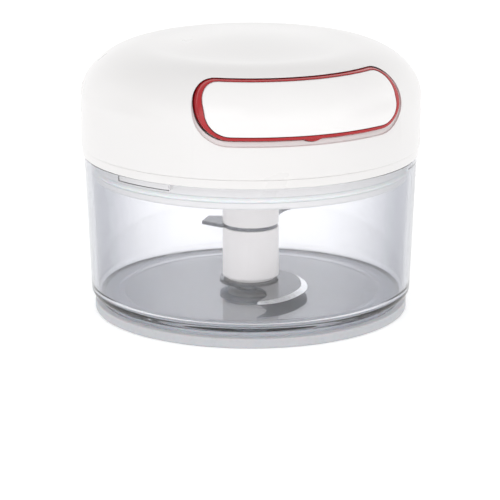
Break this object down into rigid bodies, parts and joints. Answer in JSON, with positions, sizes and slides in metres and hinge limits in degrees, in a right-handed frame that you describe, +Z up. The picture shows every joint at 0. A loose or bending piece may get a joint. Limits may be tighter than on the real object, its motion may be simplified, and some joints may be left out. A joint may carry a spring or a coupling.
{
  "type": "mini food chopper",
  "caption": "Small hand-pulled food chopper: clear round bowl, bladed rotor on a centre pin, and a white domed lid whose red-rimmed handle pulls a cord from a sprung reel.",
  "frame": {"origin": "middle of the base pad's underside, on the axis of the bowl and rotor", "axes": "+Z up along the bowl's axis; the handle is at the front and is pulled along -Y; +X is to the right seen from the front"},
  "size_m": [0.1186, 0.1196, 0.0969],
  "materials": {
    "white_plastic": "white ABS, satin gloss moulding",
    "red_plastic": "red ABS, glossy moulding",
    "clear_plastic": "clear styrene copolymer, polished mould",
    "silicone": "translucent grey silicone, matt",
    "blade_steel": "stainless steel, polished face, ground bevel",
    "spring_steel": "tempered strip steel",
    "zinc_steel": "bright zinc plate",
    "acetal": "natural acetal",
    "grey_nylon": "grey nylon",
    "cord_white": "braided polyester cord"
  },
  "bodies": {
    "bowl_body": {"bowl": "clear_plastic", "base_pad": "silicone", "centre_pin": "zinc_steel"},
    "rotor": {"hub_core": "acetal", "lower_blade": "blade_steel", "hub_sleeve": "white_plastic", "upper_blade": "blade_steel", "hub_head": "white_plastic", "hub_bush": "acetal"},
    "lid": {"lid_base": "white_plastic", "seal_ring": "silicone", "top_cover": "white_plastic", "lid_screw_1": "zinc_steel", "lid_screw_2": "zinc_steel", "lid_screw_3": "zinc_steel", "lid_screw_4": "zinc_steel", "axle_screw": "zinc_steel", "axle_washer": "zinc_steel", "thrust_washer": "acetal", "cord_eyelet": "zinc_steel", "pull_cord": "cord_white"},
    "handle": {"handle_frame": "red_plastic", "handle_plate": "white_plastic", "handle_screw_1": "zinc_steel", "handle_screw_2": "zinc_steel", "cord_knot": "cord_white"},
    "reel": {"cord_reel": "acetal", "cord_winding": "cord_white", "rewind_spring": "spring_steel", "spring_cover": "grey_nylon"},
    "drive": {"drive_carrier": "grey_nylon", "drive_retainer": "spring_steel"},
    "pawl_a": {"pawl_a": "spring_steel"},
    "pawl_b": {"pawl_b": "spring_steel"}
  },
  "joints": [
    {"name": "lid_lift", "type": "slide", "parent": "bowl_body", "child": "lid", "axis": [0, 0, 1], "range_m": [0, 0.1]},
    {"name": "handle_pull", "type": "slide", "parent": "lid", "child": "handle", "axis": [0, -1, 0], "range_m": [0, 0.3], "stiffness_N_per_m": 12, "springref_m": -0.1, "deforming": ["pull_cord"]},
    {"name": "reel_spin", "type": "hinge", "parent": "lid", "child": "reel", "pos_m": [0, 0, 0.0785], "axis": [0, 0, 1], "range_deg": [0, 750], "deforming": ["rewind_spring"]},
    {"name": "drive_spin", "type": "hinge", "parent": "lid", "child": "drive", "pos_m": [0, 0, 0.064], "axis": [0, 0, 1], "range_deg": [0, 750]},
    {"name": "blade_spin", "type": "hinge", "parent": "bowl_body", "child": "rotor", "pos_m": [0, 0, 0.0161], "axis": [0, 0, 1], "range_deg": [0, 750]},
    {"name": "pawl_a_pivot", "type": "hinge", "parent": "drive", "child": "pawl_a", "pos_m": [0.0135, 0, 0.0682], "axis": [0, 0, 1], "range_deg": [-12, 0], "stiffness_Nm_per_rad": 0.004, "springref_deg": 8.59},
    {"name": "pawl_b_pivot", "type": "hinge", "parent": "drive", "child": "pawl_b", "pos_m": [-0.0135, 0, 0.0682], "axis": [0, 0, 1], "range_deg": [-12, 0], "stiffness_Nm_per_rad": 0.004, "springref_deg": 8.59}
  ],
  "couplings": [
    {"joint": "reel_spin", "follows": "handle_pull", "rad_per_m": 43.2},
    {"joint": "drive_spin", "follows": "handle_pull", "rad_per_m": 43.2},
    {"joint": "blade_spin", "follows": "handle_pull", "rad_per_m": 43.2}
  ]
}
